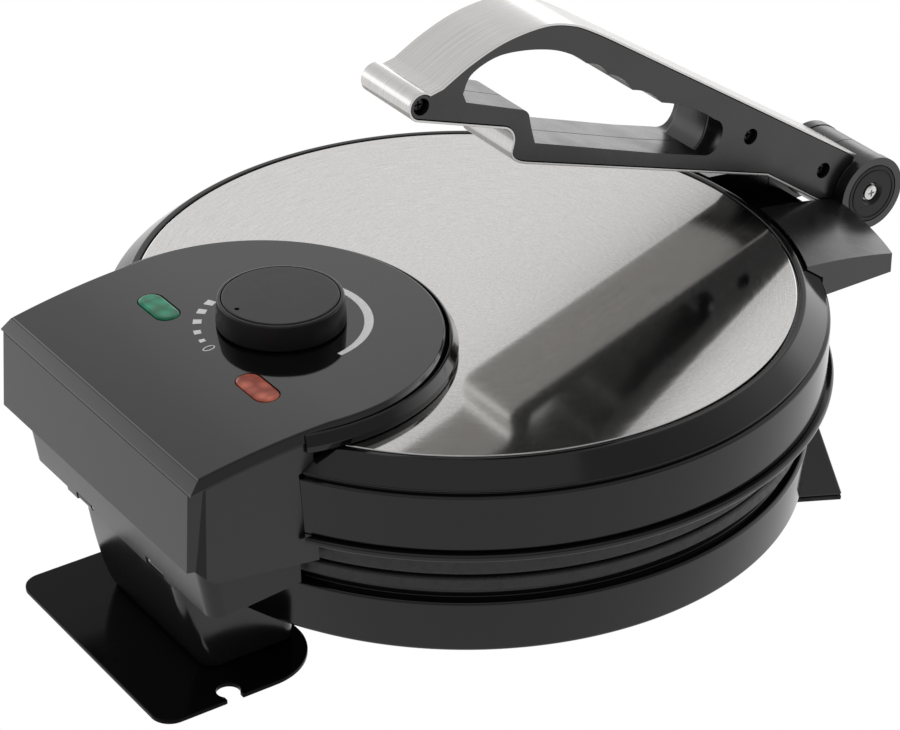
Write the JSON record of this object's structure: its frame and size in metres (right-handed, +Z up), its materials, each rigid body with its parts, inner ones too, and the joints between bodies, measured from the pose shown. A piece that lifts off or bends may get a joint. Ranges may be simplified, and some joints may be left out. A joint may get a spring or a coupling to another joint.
{
  "type": "electric roti maker",
  "caption": "Electric roti maker: round two-plate press with a steel-topped lid, a raised press handle and a control box with dial and lamps.",
  "frame": {"origin": "centre of the bounding box in plan, on the table under the feet", "axes": "+Z up, +Y to the rear where the hinge and control box are, -Y to the handle's axle, X across"},
  "size_m": [0.281, 0.3688, 0.2105],
  "materials": {
    "gloss_black": "moulded, glossy",
    "satin_grey": "moulded, satin",
    "knob_black": "moulded, fine matt",
    "brushed_steel": "brushed",
    "zinc_steel": "zinc plated, dull",
    "black_steel": "black enamel",
    "coated_aluminium": "non-stick coated",
    "heater_steel": "oxidised sheath",
    "rubber": "matt",
    "phenolic": "heat-resistant, matt",
    "green_lens": "translucent, ribbed",
    "red_lens": "translucent, ribbed",
    "clear_glass": "clear"
  },
  "bodies": {
    "base": {"base_housing": "gloss_black", "base_floor_cover": "gloss_black", "lower_heat_shield": "zinc_steel", "lower_plate": "coated_aluminium", "lower_plate_bolt_a": "zinc_steel", "lower_plate_bolt_b": "zinc_steel", "lower_plate_bolt_c": "zinc_steel", "lower_heater": "heater_steel", "rear_pedestal": "gloss_black", "foot_plate": "black_steel", "foot_plate_screw_left": "zinc_steel", "foot_plate_screw_right": "zinc_steel", "front_foot_left": "gloss_black", "front_foot_right": "gloss_black", "front_foot_pad_left": "rubber", "front_foot_pad_right": "rubber", "terminal_block": "phenolic", "thermal_fuse": "phenolic", "cord_gland": "rubber", "hinge_pin_left": "zinc_steel", "hinge_pin_right": "zinc_steel"},
    "handle": {"handle_frame_left": "gloss_black", "handle_frame_right": "gloss_black", "handle_core": "gloss_black", "handle_steel_band": "brushed_steel", "handle_screw_a": "zinc_steel", "handle_screw_b": "zinc_steel", "handle_screw_c": "zinc_steel"},
    "knob": {"knob_body": "knob_black", "knob_top_disc": "knob_black", "thermostat_shaft": "zinc_steel"},
    "lid": {"lid_housing": "gloss_black", "lid_rim_ring": "gloss_black", "panel_lip": "gloss_black", "front_bracket": "gloss_black", "control_panel": "satin_grey", "control_box_upper_shell": "satin_grey", "control_box_lower_shell": "satin_grey", "axle_cap_left": "satin_grey", "axle_cap_right": "satin_grey", "top_cover": "brushed_steel", "axle_screw_left": "brushed_steel", "axle_screw_right": "brushed_steel", "hinge_strap_left": "zinc_steel", "hinge_strap_right": "zinc_steel", "upper_heat_shield": "zinc_steel", "upper_plate_bolt_a": "zinc_steel", "upper_plate_bolt_b": "zinc_steel", "upper_plate_bolt_c": "zinc_steel", "thermostat_bracket": "zinc_steel", "handle_axle": "zinc_steel", "bracket_screw_left": "zinc_steel", "bracket_screw_right": "zinc_steel", "upper_plate": "coated_aluminium", "upper_heater": "heater_steel", "thermostat_body": "phenolic", "green_lens": "green_lens", "red_lens": "red_lens", "green_lamp": "clear_glass", "red_lamp": "clear_glass"}
  },
  "joints": [
    {"name": "lid_hinge", "type": "hinge", "parent": "base", "child": "lid", "pos_m": [0, 0.165, 0.0475], "axis": [-1, 0, 0], "range_deg": [0, 100]},
    {"name": "handle_pivot", "type": "hinge", "parent": "lid", "child": "handle", "pos_m": [0, -0.1689, 0.0974], "axis": [1, 0, 0], "range_deg": [-12, 110]},
    {"name": "knob_turn", "type": "hinge", "parent": "lid", "child": "knob", "pos_m": [0, 0.0969, 0.118], "axis": [0, 0, -1], "range_deg": [0, 255]}
  ]
}
